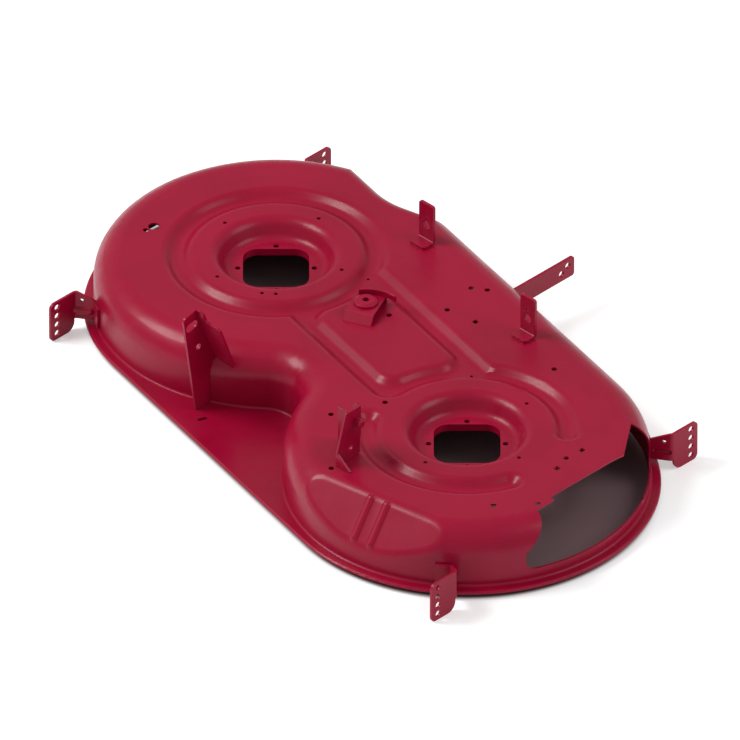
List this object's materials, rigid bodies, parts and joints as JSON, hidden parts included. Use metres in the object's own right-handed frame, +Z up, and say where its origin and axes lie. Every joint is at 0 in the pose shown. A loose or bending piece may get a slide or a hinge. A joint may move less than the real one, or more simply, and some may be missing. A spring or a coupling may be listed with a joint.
{
  "type": "lawn mower deck",
  "caption": "Pressed-steel mower deck with domed blade chambers, ring beads, sunk spindle seats, a side discharge opening, gauge-wheel brackets and lift brackets.",
  "frame": {"origin": "middle of the deck's box, on the plane of the wheel brackets' lower edges", "axes": "+X to the machine's right, the discharge side; +Y forward; +Z up"},
  "size_m": [1.131, 0.764, 0.203],
  "materials": {
    "red_paint": "satin"
  },
  "bodies": {
    "root": {"deck_shell": "red_paint", "wheel_bracket_front_left": "red_paint", "wheel_bracket_rear_left": "red_paint", "wheel_bracket_front_right": "red_paint", "wheel_bracket_rear_right": "red_paint", "front_hanger_left": "red_paint", "front_hanger_right": "red_paint", "front_strip": "red_paint", "lift_bracket_left": "red_paint", "lift_bracket_right": "red_paint", "lift_stud": "red_paint", "idler_bracket": "red_paint", "idler_nut": "red_paint", "belt_guide": "red_paint"}
  },
  "joints": []
}
